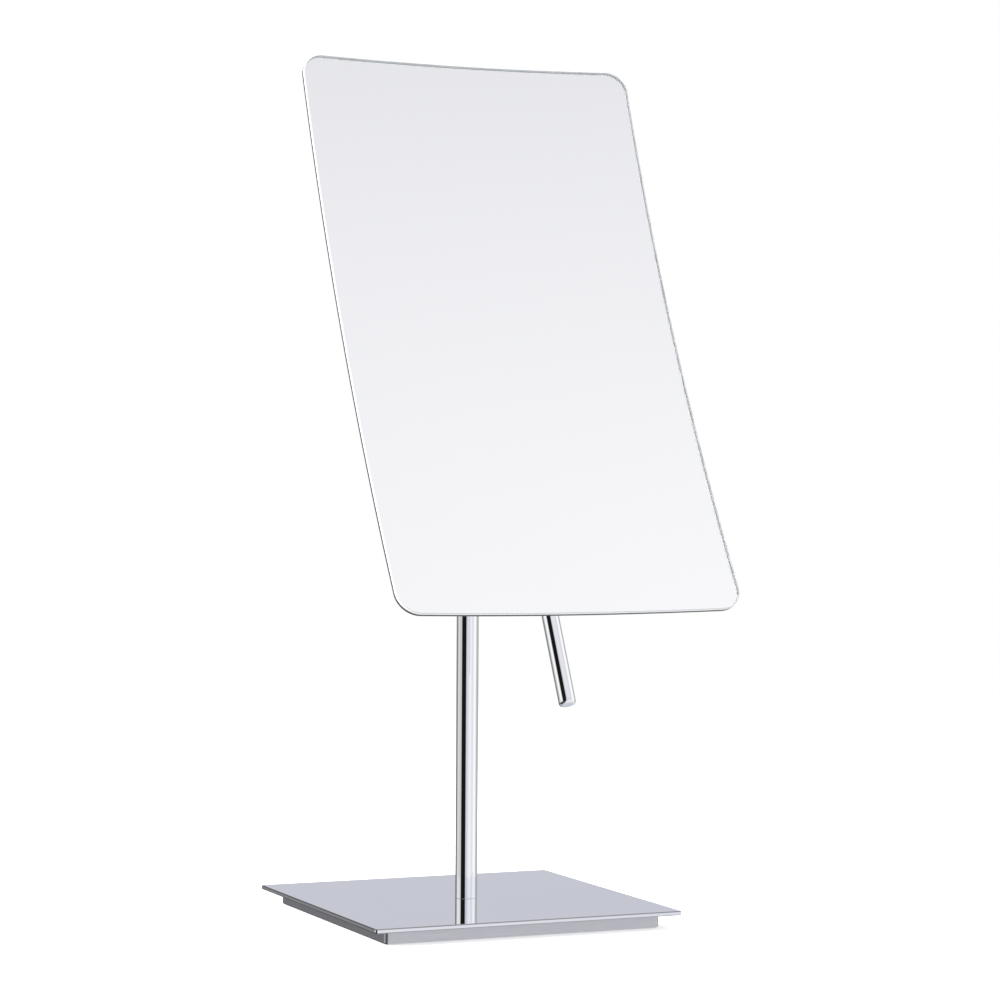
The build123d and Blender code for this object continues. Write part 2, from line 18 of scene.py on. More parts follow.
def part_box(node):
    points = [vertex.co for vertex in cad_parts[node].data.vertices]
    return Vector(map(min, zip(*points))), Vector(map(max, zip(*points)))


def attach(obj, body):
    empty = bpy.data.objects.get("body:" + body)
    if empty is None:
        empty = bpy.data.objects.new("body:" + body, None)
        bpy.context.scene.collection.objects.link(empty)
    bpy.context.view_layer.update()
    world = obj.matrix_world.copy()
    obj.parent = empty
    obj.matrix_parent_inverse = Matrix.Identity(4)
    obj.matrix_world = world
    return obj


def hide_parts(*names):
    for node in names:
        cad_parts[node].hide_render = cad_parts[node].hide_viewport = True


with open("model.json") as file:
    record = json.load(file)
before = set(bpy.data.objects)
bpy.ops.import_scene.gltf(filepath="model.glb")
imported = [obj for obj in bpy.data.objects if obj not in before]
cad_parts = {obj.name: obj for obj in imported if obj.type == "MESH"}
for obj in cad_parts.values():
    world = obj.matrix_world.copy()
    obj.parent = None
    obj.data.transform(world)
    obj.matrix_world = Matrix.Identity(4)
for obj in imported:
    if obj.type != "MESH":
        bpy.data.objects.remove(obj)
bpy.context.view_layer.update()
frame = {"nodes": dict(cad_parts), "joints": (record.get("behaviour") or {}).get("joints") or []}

bl_info = {
    "name": "Table Shaving Mirror",
    "version": (1, 0, 0),
    "blender": (4, 5, 0),
    "location": "3D View > Sidebar > Shaving Mirror",
    "description": "Finishes a table-standing shaving mirror and sets it on a studio floor",
    "category": "Object",
}

JOINTS = {joint["name"]: joint for joint in frame["joints"]}
NODES = frame["nodes"]
PIVOT = np.array(JOINTS["mirror_tilt"]["pos_m"])
UPWARD = np.array([0.0, 0.0, 1.0])
LIGHT_BOUNCES = 24

# Steps round an edge, round a corner of the glass and along its side, round a turned piece, and of the floor.
ROUND_STEPS = 6
CORNER_STEPS = 24
SIDE_STEPS = 48
TURN_STEPS = 160
FLOOR_STEPS = 96
FLOOR_RINGS = 33
QUARTER_TURN = np.linspace(0.0, math.pi / 2, ROUND_STEPS + 1)
# Rows of a sheet, as shares of the way from its middle to its edge, closer together near the edge.
SHEET_ROWS = np.append(np.linspace(0.0, 0.96, 40), [0.985, 0.995, 0.9985])
# Points nearer to each other than this are merged.
MERGE_DISTANCE = 1e-8
# Points beside the arc of a turned corner lie this many roundings from the corner.
RUN_HOLD = 2

# Start and end of the silvering and of the paint, as shares of the gap between glass and panel.
SILVER_SPAN = (1 / 9, 3 / 9)
PAINT_SPAN = (4 / 9, 7 / 9)
# Roundings: of a film by the gap, of a band of the edge by the overlap, and of the panel by its thickness.
FILM_ROUND = 1 / 15
BAND_ROUND = 1 / 4
PANEL_ROUND = 1 / 4
# The collar stands off the pole by this share of the gap around a fitted rod.
CLOSE_FIT = 1 / 10

# Polish: roughness where clean and where wiped, and scale of the wipe marks.
CHROME_POLISH = (0.015, 0.05, 35.0)
CAST_POLISH = (0.03, 0.09, 60.0)
PLATE_POLISH = (0.02, 0.05, 25.0)
SILVER_POLISH = (0.0, 0.012, 20.0)
# Brushing: scale along and across the lines, lowest and highest roughness, and depth of the lines.
PANEL_BRUSH = (30.0, 4000.0, 0.30, 0.42, 2e-6)
BLOCK_BRUSH = (60.0, 5000.0, 0.28, 0.40, 3e-6)
BRASS_BRUSH = (200.0, 9000.0, 0.20, 0.32, 2e-6)
# Grain: its scale, lowest and highest roughness, and depth of the grain.
ARRIS_GRAIN = (5000.0, 0.30, 0.45, 4e-6)
EDGE_GRAIN = (5000.0, 0.45, 0.60, 4e-6)
PAINT_GRAIN = (2200.0, 0.45, 0.60, 1e-5)
PAD_GRAIN = (1800.0, 0.75, 0.95, 6e-5)
RING_GRAIN = (4000.0, 0.50, 0.70, 1e-5)
PLASTIC_GRAIN = (2500.0, 0.38, 0.52, 1e-5)
ZINC_GRAIN = (3000.0, 0.28, 0.45, 4e-6)
# Part of a noise that becomes wipe marks, and the part that becomes the tones of brushing and of grain.
WIPE_SPAN = (0.35, 0.70)
TONE_SPAN = (0.3, 0.7)
# Darkest tone in a finish, as a share of its colour.
WIPED_SHADE = 0.985
SILVER_SHADE = 0.997
GLASS_SHADE = 0.998
BRUSHED_SHADE = 0.86
GRAINED_SHADE = 0.85
FLOOR_SHADE = 0.995
# Bending of light in the glass, and scale of the marks in it.
GLASS_BEND = 1.1
GLASS_MARKS = 12.0
# How far the plate faces up or down where its painted shade on the rounded edges starts and where it is full, from the
# side and from above.
ARRIS_FROM_SIDE = (0.15, 0.40)
ARRIS_FROM_ABOVE = (0.99, 0.90)
# Floor: its roughness, the scale of its grain, and the shares of its radius between which it fades.
FLOOR_ROUGHNESS = 0.8
FLOOR_GRAIN = 400.0
FADE_START = 0.2
FADE_END = 0.9

# Studio round the object: degrees to the left of the camera, brightness and coolness.
STUDIO_BANDS = (
    (-180, 0.66, 1.0), (-165, 0.64, 1.0), (-150, 0.50, 0.5), (-125, 0.50, 0.0), (-112, 0.60, 0.0),
    (-95, 1.10, 0.0), (-75, 1.12, 0.0), (-62, 0.88, 0.4), (-50, 0.90, 0.6), (-35, 1.05, 0.3), (-22, 1.00, 0.5),
    (-10, 0.86, 1.0), (4, 0.72, 1.0), (10, 0.66, 1.0), (13, 0.01, 0.0), (57, 0.01, 0.0), (60, 0.62, 0.0),
    (72, 0.66, 0.0), (100, 0.80, 0.0), (112, 0.74, 0.0), (118, 0.26, 0.2), (150, 0.26, 0.2), (162, 0.30, 0.2),
    (172, 0.66, 1.0), (180, 0.66, 1.0),
)
# Studio overhead: height, brightness and coolness. Heights and sides are parts of a direction of length one.
CANOPY_BANDS = (
    (0.00, 0.74, 0.5), (0.45, 0.74, 0.5), (0.57, 0.73, 0.5), (0.72, 0.905, 0.3), (0.84, 1.03, 0.1), (1.0, 1.05, 0.0),
)
LAVENDER = (0.955, 0.962, 1.05)
# The bands draw out sideways by this share between two heights.
PANEL_SPREAD = 0.14
PANEL_HEIGHTS = (0.15, 0.50)
# The canopy comes in between two heights on the right, and starts higher by the rise on the left.
CANOPY_HEIGHTS = (0.30, 0.50)
CANOPY_SIDES = (-0.25, 0.10)
CANOPY_RISE = 0.42
# Patches laid over the studio in turn: a side, where a patch starts and is full along it and in height, and its tone.
STUDIO_PATCHES = (
    ("back", (0.10, -0.20), (0.74, 0.82), 0.50),
    ("left", (0.87, 0.94), (0.08, 0.20), 1.12),
    ("left", (-0.76, -0.84), (0.15, 0.30), 1.12),
    ("back", (-0.35, -0.60), (-0.35, -0.60), 0.88),
    ("back", (-0.60, -0.35), (-0.20, -0.40), 0.95),
    ("left", (0.0, 0.25), (-0.20, -0.40), 0.03),
)
WHITE = (1.0, 1.0, 1.0, 1.0)
# Soft boxes: place, turn and width.
OVERHEAD_BOX = ((0.1, -0.2, 1.5), (0.0, 0.0, 0.0), 1.2)
SIDE_BOX = ((-1.4, 0.2, 0.6), (0.0, math.radians(-65), 0.0), 0.9)


class GlassSizes(PropertyGroup):
    """Sizes of the glass and of the sheets behind it."""

    width: FloatProperty(name="Width", description="Width of the glass", default=0.1586, unit="LENGTH")
    height: FloatProperty(name="Height", description="Height of the glass", default=0.2696, unit="LENGTH")
    thickness: FloatProperty(name="Thickness", description="Thickness of the glass", default=0.0030, unit="LENGTH")
    corner: FloatProperty(name="Corner", description="Radius of the corners", default=0.010, unit="LENGTH")
    edge_round: FloatProperty(name="Edge", description="Radius ground on the edges", default=0.0003, unit="LENGTH")
    curve: FloatProperty(name="Curve", description="Radius of the dished front", default=1.155, unit="LENGTH")
    depth: FloatProperty(
        name="Depth", description="Middle of the front ahead of the tilt axle", default=0.0149, unit="LENGTH"
    )
    lean: FloatProperty(
        name="Lean", description="Resting lean of the glass", default=math.radians(26.4), subtype="ANGLE"
    )
    panel_inset: FloatProperty(
        name="Panel inset", description="Panel edge inside the glass edge", default=0.003, unit="LENGTH"
    )
    panel_thickness: FloatProperty(
        name="Panel thickness", description="Thickness of the back panel", default=0.0008, unit="LENGTH"
    )
    bond_line: FloatProperty(
        name="Bond line", description="Gap between glass and panel", default=0.0001, unit="LENGTH"
    )
    seal_start: FloatProperty(
        name="Seal start", description="Share of the edge ahead of the painted seal", default=0.48, subtype="FACTOR"
    )
    # Painted light: the edge seen through the glass is a darker grey ahead of this share, and lighter with a painted
    # glow behind it.
    glow_start: FloatProperty(
        name="Glow start", description="Share of the edge ahead of its lighter part", default=0.72, subtype="FACTOR"
    )
    # Painted glow on the back part of the edge seen through the glass, standing in for light led through the glass.
    painted_edge_glow: FloatProperty(name="Edge glow", description="Light led to the deep part of the edge", default=0.14)
    edge_land: FloatProperty(
        name="Edge land", description="Flat strip inside the rounded edge", default=0.00005, unit="LENGTH"
    )
    overlap: FloatProperty(
        name="Overlap", description="Depth of one layer of the edge in the next", default=0.00002, unit="LENGTH"
    )


class TurnedSizes(PropertyGroup):
    """Sizes of the turned bright pieces that their boxes don't give."""

    tube_wall: FloatProperty(name="Tube wall", description="Wall of the pole", default=0.001, unit="LENGTH")
    tube_chamfer: FloatProperty(name="Tube chamfer", description="Ends of the pole", default=0.0002, unit="LENGTH")
    collar_lip: FloatProperty(name="Collar lip", description="Lip over the bush", default=0.001, unit="LENGTH")
    collar_round: FloatProperty(name="Collar round", description="Collar's edges", default=0.0004, unit="LENGTH")
    cap_round: FloatProperty(name="Cap round", description="Edge of the head's cap", default=0.0008, unit="LENGTH")
    handle_diameter: FloatProperty(name="Handle", description="Handle's diameter", default=0.0074, unit="LENGTH")
    handle_top: FloatProperty(name="Handle top", description="From axle to handle", default=0.018, unit="LENGTH")
    handle_tip: FloatProperty(name="Handle tip", description="From axle to tip", default=0.1670, unit="LENGTH")
    handle_round: FloatProperty(name="Tip round", description="Edge of the tip", default=0.0012, unit="LENGTH")
    hole_gap: FloatProperty(name="Hole gap", description="Gap around a fitted rod", default=0.0002, unit="LENGTH")


class FinishColours(PropertyGroup):
    """Colours of the finishes."""

    plate: FloatVectorProperty(
        name="Plate", description="Polished base plate", default=(0.79, 0.81, 0.86), subtype="COLOR"
    )
    # Painted shade laid on the plate's rounded edges, standing in for a dark reflection there, not a thinner polish.
    plate_arris_painted_shade: FloatVectorProperty(
        name="Plate edge", description="Thin polish on the plate's edges", default=(0.36, 0.35, 0.35), subtype="COLOR"
    )
    chrome: FloatVectorProperty(
        name="Chrome", description="Pole, handle and head", default=(0.86, 0.87, 0.89), subtype="COLOR"
    )
    block: FloatVectorProperty(
        name="Block", description="Satin block", default=(0.56, 0.56, 0.60), subtype="COLOR"
    )
    glass: FloatVectorProperty(
        name="Glass", description="Tint through the glass", default=(0.99, 0.99, 0.992), subtype="COLOR"
    )
    silver: FloatVectorProperty(
        name="Silver", description="Silvering behind the glass", default=(0.955, 0.955, 0.962), subtype="COLOR"
    )
    # Painted shade: the ground rounds of the edge get this darker grey, while the flat of the same ground edge is near
    # white, to draw a dark outline.
    edge: FloatVectorProperty(
        name="Ground edge", description="Ground edge of the glass", default=(0.64, 0.66, 0.68), subtype="COLOR"
    )
    edge_wall: FloatVectorProperty(
        name="Edge wall", description="Flat of the ground edge", default=(0.95, 0.96, 0.97), subtype="COLOR"
    )
    # Painted shade: the front part of the edge seen through the glass gets this darker grey, while the same ground
    # edge elsewhere is near white.
    edge_inside_painted_shade: FloatVectorProperty(
        name="Edge inside painted shade", description="Ground edge seen through the glass", default=(0.63, 0.65, 0.67),
        subtype="COLOR",
    )
    paint: FloatVectorProperty(
        name="Backing paint", description="Paint behind the silvering", default=(0.08, 0.085, 0.09), subtype="COLOR"
    )
    panel: FloatVectorProperty(
        name="Panel", description="Satin back panel", default=(0.66, 0.67, 0.69), subtype="COLOR"
    )
    rubber: FloatVectorProperty(
        name="Rubber", description="Pad and rings", default=(0.035, 0.035, 0.038), subtype="COLOR"
    )
    plastic: FloatVectorProperty(
        name="Plastic", description="Bearing plastic", default=(0.78, 0.78, 0.75), subtype="COLOR"
    )
    zinc: FloatVectorProperty(
        name="Zinc", description="Plated screws", default=(0.58, 0.59, 0.61), subtype="COLOR"
    )
    brass: FloatVectorProperty(
        name="Brass", description="Plug in the pole", default=(0.72, 0.54, 0.25), subtype="COLOR"
    )


class StageSettings(PropertyGroup):
    """Place of the camera and strength of the studio."""

    camera_place: FloatVectorProperty(
        name="Camera", description="Camera's place", default=(-0.5460, -1.2697, 0.2074), subtype="XYZ"
    )
    camera_yaw: FloatProperty(
        name="Yaw", description="Turn to the right", default=math.radians(23.858), subtype="ANGLE"
    )
    camera_pitch: FloatProperty(
        name="Pitch", description="Look upwards", default=math.radians(-0.801), subtype="ANGLE"
    )
    camera_roll: FloatProperty(name="Roll", description="Camera's roll", default=math.radians(0.349), subtype="ANGLE")
    lens: FloatProperty(name="Lens", description="Focal length in millimetres", default=110.34)
    floor_radius: FloatProperty(name="Floor", description="Radius of the floor", default=1.6, unit="LENGTH")
    floor_colour: FloatVectorProperty(
        name="Floor colour", description="Pale floor", default=(0.90, 0.90, 0.90), subtype="COLOR"
    )
    floor_glow: FloatProperty(name="Floor glow", description="Light from below the floor", default=0.45)
    side_fill: FloatProperty(name="Side fill", description="Power of the left soft box in watts", default=22.0)
    overhead: FloatProperty(name="Overhead light", description="Power of the high soft box in watts", default=20.0)


def mirror_frame():
    """Axes of the glass at rest: X along the axle, Y up the glass, Z out of it, from the tilt axle's middle."""
    lean = bpy.context.scene.glass_sizes.lean
    across = np.array([1.0, 0.0, 0.0])
    upward = np.array([0.0, math.sin(lean), math.cos(lean)])
    outward = np.array([0.0, -math.cos(lean), math.sin(lean)])
    return np.stack([across, upward, outward])


def place_on_glass(points):
    """Points given across, up and out of the glass, moved to their place in the frame."""
    return PIVOT + points @ mirror_frame()


def hang_on_glass(points):
    """Points of a piece turned about Z, hung down the glass from the tilt axle."""
    return place_on_glass(points[..., [0, 2, 1]] * [1, -1, 1])


def grid_faces(rows, columns):
    """Quads of a grid of rows by columns points, closed round its columns."""
    row = np.arange(rows - 1)[:, None] * columns
    column = np.arange(columns)[None, :]
    following = (column + 1) % columns
    quads = np.stack([row + column, row + following, row + columns + following, row + columns + column], axis=-1)
    return quads.reshape(-1, 4)


def merge_doubles(mesh):
    """Merge points that lie on each other and point every face outward."""
    work = bmesh.new()
    work.from_mesh(mesh)
    bmesh.ops.remove_doubles(work, verts=work.verts, dist=MERGE_DISTANCE)
    bmesh.ops.delete(work, geom=[edge for edge in work.edges if edge.is_wire], context="EDGES")
    bmesh.ops.recalc_face_normals(work, faces=work.faces)
    work.to_mesh(mesh)
    work.free()


def grid_object(name, points):
    """Object on a grid of points. Collapsed poles and seams are merged and normals set outward."""
    mesh = bpy.data.meshes.new(name)
    mesh.from_pydata(points.reshape(-1, 3), [], grid_faces(*points.shape[:2]))
    mesh.validate()
    merge_doubles(mesh)
    made = bpy.data.objects.new(name, mesh)
    bpy.context.scene.collection.objects.link(made)
    return made


def new_piece(name, points, body):
    """Smooth piece on a grid of points, which rides on a body."""
    piece = grid_object(name, points)
    piece.data.shade_smooth()
    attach(piece, body)
    return piece


def rounded_outline(outset):
    """Outline of the glass moved out by a distance, with the directions out of it.

    It is a rounded rectangle: quarter circles joined by straight sides.
    """
    sizes = bpy.context.scene.glass_sizes
    corner = sizes.corner + outset
    arc = np.linspace(0.0, 1.0, CORNER_STEPS + 1)
    side = np.linspace(0.0, 1.0, SIDE_STEPS, endpoint=False)[1:]
    reach = [sizes.width / 2 - sizes.corner, sizes.height / 2 - sizes.corner]
    middles = np.array([[1, 1], [-1, 1], [-1, -1], [1, -1]]) * reach
    points = []
    directions = []
    for turn, (middle, following) in enumerate(zip(middles, np.roll(middles, -1, axis=0))):
        angle = (turn + arc) * math.pi / 2
        facing = np.stack([np.cos(angle), np.sin(angle)], axis=-1)
        curve = middle + corner * facing
        start = curve[-1]
        end = following + corner * facing[-1]
        points += [curve, start + side[:, None] * (end - start)]
        directions += [facing, np.repeat(facing[-1:], len(side), axis=0)]
    return np.concatenate(points), np.concatenate(directions)


def dish_level(rows, face):
    """Level out of the glass on the sphere of a face: centre - sqrt(radius^2 - x^2 - y^2)."""
    sizes = bpy.context.scene.glass_sizes
    centre = sizes.depth + sizes.curve
    return centre - np.sqrt((centre - face) ** 2 - np.sum(rows**2, axis=-1))


def dished_sheet(name, inset, front, back, edge_round, slot):
    """Closed dished sheet between two spheres with one middle, set in from the outline of the glass.

    Its rows run from the middle of the front out to the edge, round the edge, and in to the middle of the back.
    A point at x, y lies at centre - sqrt(radius^2 - x^2 - y^2) out of the glass.
    """
    rim, facing = rounded_outline(-inset)
    face_rows = SHEET_ROWS[:, None, None] * (rim - edge_round * facing)
    edge_rows = rim - edge_round * (1 - np.sin(QUARTER_TURN))[:, None, None] * facing
    drop = edge_round * (1 - np.cos(QUARTER_TURN))[:, None]
    plan = np.concatenate([face_rows, edge_rows, edge_rows[::-1], face_rows[::-1]])
    levels = np.concatenate([
        dish_level(face_rows, front),
        dish_level(edge_rows, front) - drop,
        (dish_level(edge_rows, back) + drop)[::-1],
        dish_level(face_rows, back)[::-1],
    ])
    points = place_on_glass(np.concatenate([plan, levels[..., None]], axis=-1))
    return new_piece(name, points, "mirror")


def edge_band(name, outset, faces, rounds, land):
    """Band round the edge of the glass: an edge profile carried round the outline, closed by a flat wall inside it.

    A row inset from the outline lies at centre - sqrt(radius^2 - x^2 - y^2), on the sphere of the face that it belongs
    to, less its drop. The faces and the rounds are those of the front and of the back.
    """
    rim, facing = rounded_outline(outset)
    halves = []
    for face, rounding, way in zip(faces, rounds, (-1, 1)):
        insets = np.append(land, rounding * (1 - np.sin(QUARTER_TURN)))
        drops = np.append(0.0, rounding * (1 - np.cos(QUARTER_TURN)))
        rows = rim - insets[:, None, None] * facing
        levels = dish_level(rows, face) + way * drops[:, None]
        halves.append(np.concatenate([rows, levels[..., None]], axis=-1))
    points = place_on_glass(np.concatenate([halves[0], halves[1][::-1], halves[0][:1]]))
    return new_piece(name, points, "mirror")


def rounded_profile(corners):
    """Profile of a turned piece from corners of radius, height and rounding, as straight runs joined by arcs.

    Two more points hold each run straight beside its arc, so the finish doesn't bend along the run.
    """
    turn = QUARTER_TURN[:, None]
    profile = []
    for index, (radius, height, rounding) in enumerate(corners):
        here = np.array([radius, height])
        before = np.array(corners[index - 1][:2]) - here
        after = np.array(corners[(index + 1) % len(corners)][:2]) - here
        before = before / np.linalg.norm(before)
        after = after / np.linalg.norm(after)
        middle = here + rounding * (before + after)
        arc = middle - rounding * (after * np.cos(turn) + before * np.sin(turn))
        profile += [here + RUN_HOLD * rounding * before, *arc, here + RUN_HOLD * rounding * after]
    return np.array(profile + profile[:1])


def unit_circle(steps):
    """Points round a level circle: (cos t, sin t, 0)."""
    angle = np.linspace(0.0, 2 * math.pi, steps, endpoint=False)
    return np.stack([np.cos(angle), np.sin(angle), np.zeros_like(angle)], axis=-1)


def turned_piece(name, corners, body, place=None):
    """Turned piece on the pole's axis, or moved by a function of its points.

    Its profile is swept about the Z axis: (radius cos t, radius sin t, height).
    """
    profile = rounded_profile(corners)
    points = profile[:, 0, None, None] * unit_circle(TURN_STEPS) + profile[:, 1, None, None] * UPWARD
    if place is not None:
        points = place(points)
    return new_piece(name, points, body)


def finish(piece, material):
    """Give a piece one material in place of what it carries."""
    piece.data.materials.clear()
    piece.data.materials.append(material)


def finish_nodes(names, material):
    """Give each of the named solids one material."""
    for name in names:
        finish(NODES[name], material)


def set_inputs(node, values):
    """Set inputs of a node by their labels."""
    for label, value in values.items():
        node.inputs[label].default_value = value


def ranged(tree, source, start, end, low=0.0, high=1.0, kind="LINEAR"):
    """Value moved from one span to another, and held at its ends."""
    node = tree.nodes.new("ShaderNodeMapRange")
    node.interpolation_type = kind
    set_inputs(node, {"From Min": start, "From Max": end, "To Min": low, "To Max": high})
    tree.links.new(source, node.inputs["Value"])
    return node.outputs["Result"]


def smooth_step(tree, source, start, end, high=1.0):
    """Soft step of a value between two places."""
    return ranged(tree, source, start, end, 0.0, high, "SMOOTHSTEP")


def calculated(tree, operation, *values):
    """Result of a calculation. Each value may be a socket or a number."""
    node = tree.nodes.new("ShaderNodeMath")
    node.operation = operation
    for socket, value in zip(node.inputs, values):
        if isinstance(value, float):
            socket.default_value = value
        else:
            tree.links.new(value, socket)
    return node.outputs["Value"]


def mixed(tree, factor, first, second):
    """Mix of two colours by a factor. Either colour may be a socket or a value."""
    mix = tree.nodes.new("ShaderNodeMix")
    mix.data_type = "RGBA"
    tree.links.new(factor, mix.inputs["Factor"])
    for label, colour in (("A", first), ("B", second)):
        if isinstance(colour, tuple):
            mix.inputs[label].default_value = colour
        else:
            tree.links.new(colour, mix.inputs[label])
    return mix.outputs["Result"]


def new_group(name, inputs, outputs):
    """Shader node group with number inputs and outputs. Returns its tree and its two end nodes."""
    group = bpy.data.node_groups.new(name, "ShaderNodeTree")
    for label, value in inputs.items():
        socket = group.interface.new_socket(label, in_out="INPUT", socket_type="NodeSocketFloat")
        socket.default_value = value
    for label in outputs:
        group.interface.new_socket(label, in_out="OUTPUT", socket_type="NodeSocketFloat")
    return group, group.nodes.new("NodeGroupInput"), group.nodes.new("NodeGroupOutput")


def wipe_marks():
    """Faint cloth marks on polish: a soft noise that moves the roughness between two values."""
    if "Wipe marks" in bpy.data.node_groups:
        return bpy.data.node_groups["Wipe marks"]
    inputs = {"Scale": 30.0, "Clean": 0.02, "Marked": 0.06}
    group, start, end = new_group("Wipe marks", inputs, ("Roughness", "Mask"))
    nodes, links = group.nodes, group.links
    place = nodes.new("ShaderNodeTexCoord")
    noise = nodes.new("ShaderNodeTexNoise")
    set_inputs(noise, {"Detail": 5.0, "Roughness": 0.6})
    links.new(place.outputs["Object"], noise.inputs["Vector"])
    links.new(start.outputs["Scale"], noise.inputs["Scale"])
    mask = ranged(group, noise.outputs["Fac"], *WIPE_SPAN)
    blend = nodes.new("ShaderNodeMapRange")
    links.new(mask, blend.inputs["Value"])
    links.new(start.outputs["Clean"], blend.inputs["To Min"])
    links.new(start.outputs["Marked"], blend.inputs["To Max"])
    links.new(blend.outputs["Result"], end.inputs["Roughness"])
    links.new(mask, end.inputs["Mask"])
    return group


def brush_lines():
    """Fine level brushing: noise drawn out along the piece and packed close up it."""
    if "Brush lines" in bpy.data.node_groups:
        return bpy.data.node_groups["Brush lines"]
    inputs = {"Along": 40.0, "Across": 6000.0}
    group, start, end = new_group("Brush lines", inputs, ("Tone", "Height"))
    nodes, links = group.nodes, group.links
    place = nodes.new("ShaderNodeTexCoord")
    stretch = nodes.new("ShaderNodeCombineXYZ")
    for label, axis in (("Along", "X"), ("Along", "Y"), ("Across", "Z")):
        links.new(start.outputs[label], stretch.inputs[axis])
    scaled = nodes.new("ShaderNodeVectorMath")
    scaled.operation = "MULTIPLY"
    links.new(place.outputs["Object"], scaled.inputs[0])
    links.new(stretch.outputs["Vector"], scaled.inputs[1])
    noise = nodes.new("ShaderNodeTexNoise")
    set_inputs(noise, {"Scale": 1.0, "Detail": 4.0, "Roughness": 0.65})
    links.new(scaled.outputs["Vector"], noise.inputs["Vector"])
    links.new(ranged(group, noise.outputs["Fac"], *TONE_SPAN), end.inputs["Tone"])
    links.new(noise.outputs["Fac"], end.inputs["Height"])
    return group


def fine_grain():
    """Even fine grain of moulded, plated or blasted surfaces."""
    if "Fine grain" in bpy.data.node_groups:
        return bpy.data.node_groups["Fine grain"]
    group, start, end = new_group("Fine grain", {"Scale": 2500.0}, ("Tone", "Height"))
    nodes, links = group.nodes, group.links
    place = nodes.new("ShaderNodeTexCoord")
    noise = nodes.new("ShaderNodeTexNoise")
    set_inputs(noise, {"Detail": 3.0})
    links.new(place.outputs["Object"], noise.inputs["Vector"])
    links.new(start.outputs["Scale"], noise.inputs["Scale"])
    links.new(ranged(group, noise.outputs["Fac"], *TONE_SPAN), end.inputs["Tone"])
    links.new(noise.outputs["Fac"], end.inputs["Height"])
    return group


def new_material(name):
    """Empty material: its tree and its surface shader."""
    material = bpy.data.materials.new(name)
    material.use_nodes = True
    shader = material.node_tree.nodes["Principled BSDF"]
    return material, material.node_tree, shader


def add_group(tree, group, **values):
    """Place a node group in a material with its own values."""
    node = tree.nodes.new("ShaderNodeGroup")
    node.node_tree = group
    set_inputs(node, values)
    return node


def tint(tree, shader, mask, colour, shade):
    """Base colour that moves between a colour and a darker one by a mask."""
    darker = (*[part * shade for part in colour], 1.0)
    tree.links.new(mixed(tree, mask, (*colour, 1.0), darker), shader.inputs["Base Color"])


def roughen(tree, shader, mask, low, high):
    """Roughness that moves between two values by a mask."""
    tree.links.new(ranged(tree, mask, 0.0, 1.0, low, high), shader.inputs["Roughness"])


def emboss(tree, shader, height, distance):
    """Bump of a height mask, in metres."""
    bump = tree.nodes.new("ShaderNodeBump")
    bump.inputs["Distance"].default_value = distance
    tree.links.new(height, bump.inputs["Height"])
    tree.links.new(bump.outputs["Normal"], shader.inputs["Normal"])


def polished_metal(name, colour, polish, shade=WIPED_SHADE):
    """Mirror-bright metal with faint wipe marks."""
    clean, marked, scale = polish
    material, tree, shader = new_material(name)
    shader.inputs["Metallic"].default_value = 1.0
    marks = add_group(tree, wipe_marks(), Scale=scale, Clean=clean, Marked=marked)
    tint(tree, shader, marks.outputs["Mask"], colour, shade)
    tree.links.new(marks.outputs["Roughness"], shader.inputs["Roughness"])
    return material


def brushed_metal(name, colour, brush):
    """Satin metal with fine level brush lines."""
    along, across, low, high, distance = brush
    material, tree, shader = new_material(name)
    shader.inputs["Metallic"].default_value = 1.0
    lines = add_group(tree, brush_lines(), Along=along, Across=across)
    tint(tree, shader, lines.outputs["Tone"], colour, BRUSHED_SHADE)
    roughen(tree, shader, lines.outputs["Tone"], low, high)
    emboss(tree, shader, lines.outputs["Height"], distance)
    return material


def grained(name, colour, grain, metallic=0.0, shine=0.5, glow=0.0):
    """Plain moulded, plated or blasted surface with a fine grain, and a painted glow where one is given."""
    scale, low, high, distance = grain
    material, tree, shader = new_material(name)
    set_inputs(shader, {
        "Metallic": metallic, "Specular IOR Level": shine, "Emission Color": (*colour, 1.0), "Emission Strength": glow,
    })
    pattern = add_group(tree, fine_grain(), Scale=scale)
    tint(tree, shader, pattern.outputs["Tone"], colour, GRAINED_SHADE)
    roughen(tree, shader, pattern.outputs["Tone"], low, high)
    emboss(tree, shader, pattern.outputs["Height"], distance)
    return material


def painted_arris_shade(material, colour):
    """Painted shade: a darker colour on the rounded edges between level and upright faces, standing in for the dark
    reflection there.
    """
    tree = material.node_tree
    base = tree.nodes["Principled BSDF"].inputs["Base Color"]
    polish = base.links[0].from_socket
    facing = tree.nodes.new("ShaderNodeNewGeometry")
    parts = tree.nodes.new("ShaderNodeSeparateXYZ")
    tree.links.new(facing.outputs["Normal"], parts.inputs["Vector"])
    slope = calculated(tree, "ABSOLUTE", parts.outputs["Z"])
    from_side = smooth_step(tree, slope, *ARRIS_FROM_SIDE)
    from_above = smooth_step(tree, slope, *ARRIS_FROM_ABOVE)
    arris = calculated(tree, "MULTIPLY", from_side, from_above)
    tree.links.new(mixed(tree, arris, polish, (*colour, 1.0)), base)


def clear_glass():
    """Clear mirror glass, faintly tinted. It bends light a little, so the silvering shows no second image."""
    colours = bpy.context.scene.finish_colours
    material, tree, shader = new_material("Clear glass")
    set_inputs(shader, {"Transmission Weight": 1.0, "IOR": GLASS_BEND, "Roughness": 0.0})
    marks = add_group(tree, wipe_marks(), Scale=GLASS_MARKS)
    tint(tree, shader, marks.outputs["Mask"], colours.glass, GLASS_SHADE)
    return material


